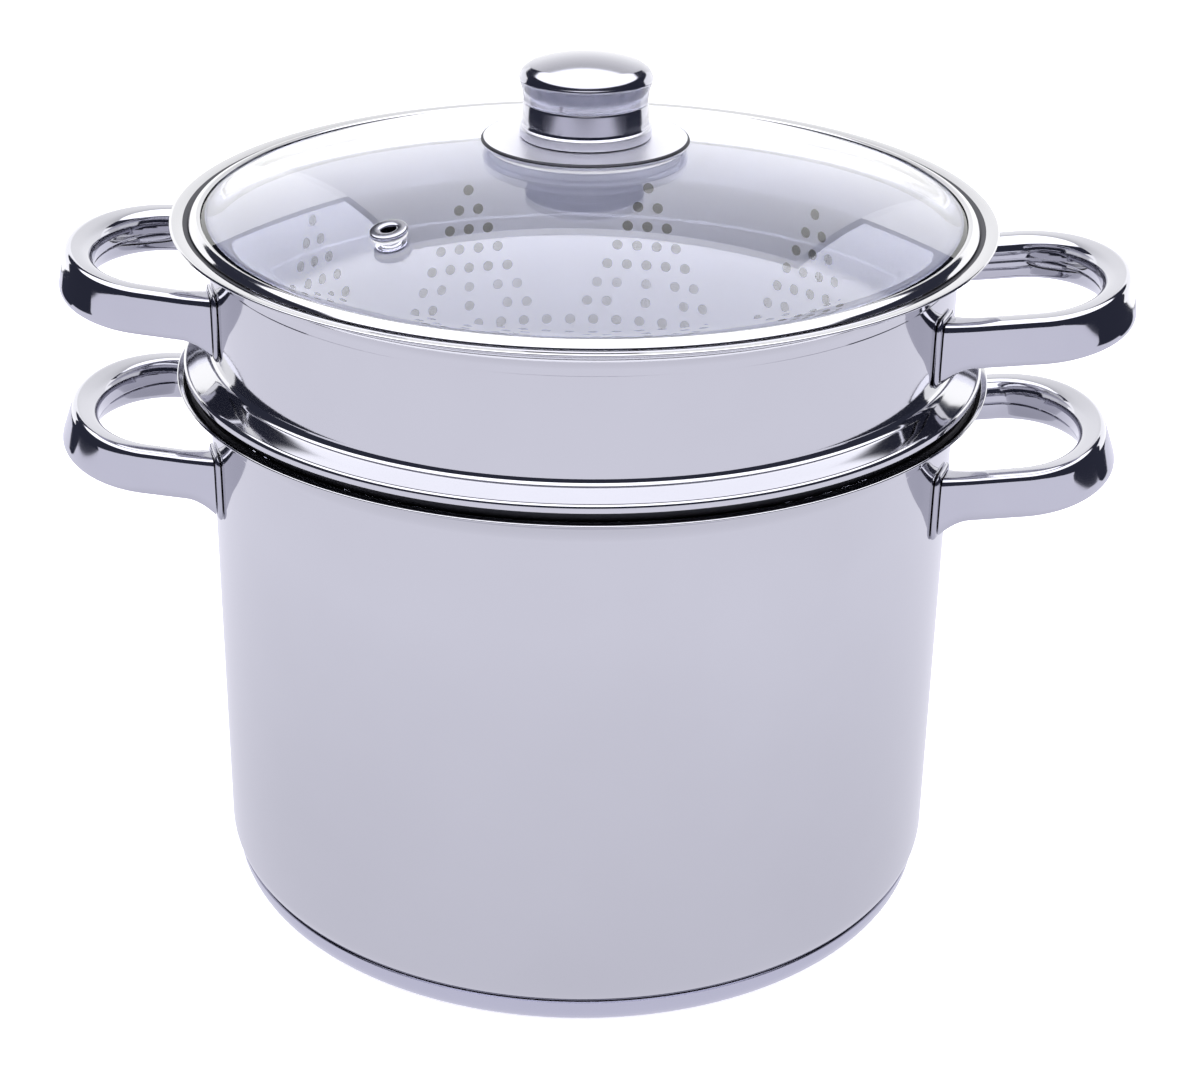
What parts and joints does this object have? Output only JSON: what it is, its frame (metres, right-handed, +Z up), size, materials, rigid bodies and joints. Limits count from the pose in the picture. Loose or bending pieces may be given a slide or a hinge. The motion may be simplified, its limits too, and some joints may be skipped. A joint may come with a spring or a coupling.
{
  "type": "pasta pot with colander",
  "caption": "Tall polished steel pasta pot with a deep lift-out colander, paired loop handles and a domed glass lid with a round steel knob.",
  "frame": {"origin": "centre of the flat rest face under the base", "axes": "+Z up along the axis of the pot, +X through the middle of the right-hand pot handle, +Y to the rear"},
  "size_m": [0.3404, 0.2588, 0.2755],
  "materials": {
    "polished_steel": "mirror polished stainless steel",
    "handle_steel": "mirror polished stainless steel",
    "plate_steel": "polished stainless steel",
    "base_steel": "polished edge, fine turned underside",
    "knob_steel": "mirror polished stainless steel",
    "core_aluminium": "plain rolled",
    "clear_glass": "clear, polished",
    "silicone": "matt translucent white",
    "moulded_core": "matt moulded",
    "zinc_steel": "zinc plated"
  },
  "bodies": {
    "pot": {"pot_shell": "polished_steel", "base_core_disc": "core_aluminium", "base_cap": "base_steel", "pot_handle_right": "handle_steel", "pot_handle_left": "handle_steel", "pot_handle_plate_right_front": "plate_steel", "pot_handle_plate_right_rear": "plate_steel", "pot_handle_plate_left_front": "plate_steel", "pot_handle_plate_left_rear": "plate_steel"},
    "colander": {"colander_shell": "polished_steel", "colander_handle_right": "handle_steel", "colander_handle_left": "handle_steel", "colander_handle_plate_right_front": "plate_steel", "colander_handle_plate_right_rear": "plate_steel", "colander_handle_plate_left_front": "plate_steel", "colander_handle_plate_left_rear": "plate_steel"},
    "lid": {"lid_glass": "clear_glass", "lid_rim_band": "polished_steel", "vent_eyelet": "polished_steel", "vent_gasket": "silicone", "knob_base_disc": "knob_steel", "knob_gasket_upper": "silicone", "knob_neck": "knob_steel", "knob_cap": "knob_steel", "knob_core": "moulded_core", "knob_gasket_lower": "silicone", "screw_washer": "zinc_steel", "knob_screw": "zinc_steel"}
  },
  "joints": [
    {"name": "colander_lift", "type": "slide", "parent": "pot", "child": "colander", "axis": [0, 0, 1], "range_m": [0, 0.16]},
    {"name": "lid_lift", "type": "slide", "parent": "colander", "child": "lid", "axis": [0, 0, 1], "range_m": [0, 0.1]}
  ]
}
